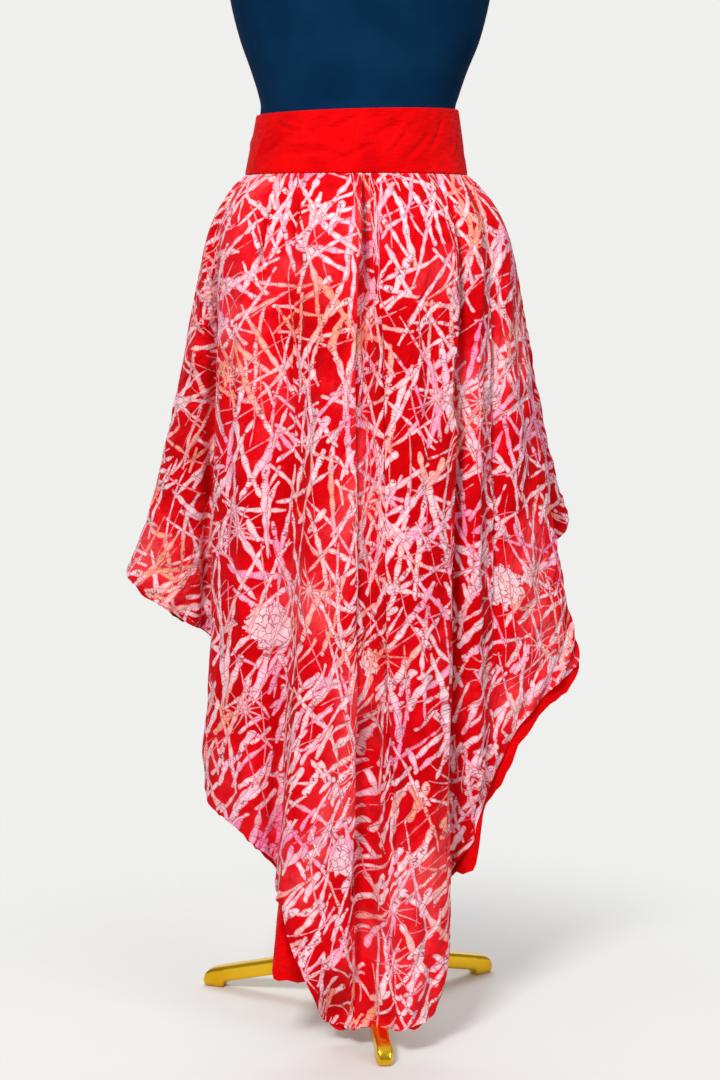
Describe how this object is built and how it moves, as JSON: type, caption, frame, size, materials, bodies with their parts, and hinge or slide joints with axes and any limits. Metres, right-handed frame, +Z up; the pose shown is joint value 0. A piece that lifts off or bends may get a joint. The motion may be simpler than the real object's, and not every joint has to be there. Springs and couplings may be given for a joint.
{
  "type": "high-low skirt on a dress form with its stand",
  "caption": "High-low skirt of printed cotton, pleated into a plain waistband, with a lined long back, on a limbless dress form with a brass tripod stand.",
  "frame": {"origin": "centre of the whole part's box, on the floor", "axes": "+Z up; -Y towards the long back of the skirt, which is the side that shows; +X towards the wearer's right"},
  "size_m": [0.5556, 0.4098, 1.5893],
  "materials": {
    "print": "matt cotton with a crackled wax print of pale pink and peach strokes on red",
    "plain_red": "matt plain cotton",
    "form_cover": "tight navy cover",
    "brass": "polished"
  },
  "bodies": {
    "root": {"skirt_back_left": "print", "skirt_back_right": "print", "skirt_front": "print", "lining_left": "plain_red", "lining_right": "plain_red", "waistband_back_left": "plain_red", "waistband_back_right": "plain_red", "waistband_front": "plain_red", "form_torso": "form_cover", "neck_cap": "brass", "pole_socket": "brass", "pole": "brass", "hub": "brass", "leg_front": "brass", "leg_right": "brass", "leg_left": "brass"}
  },
  "joints": []
}
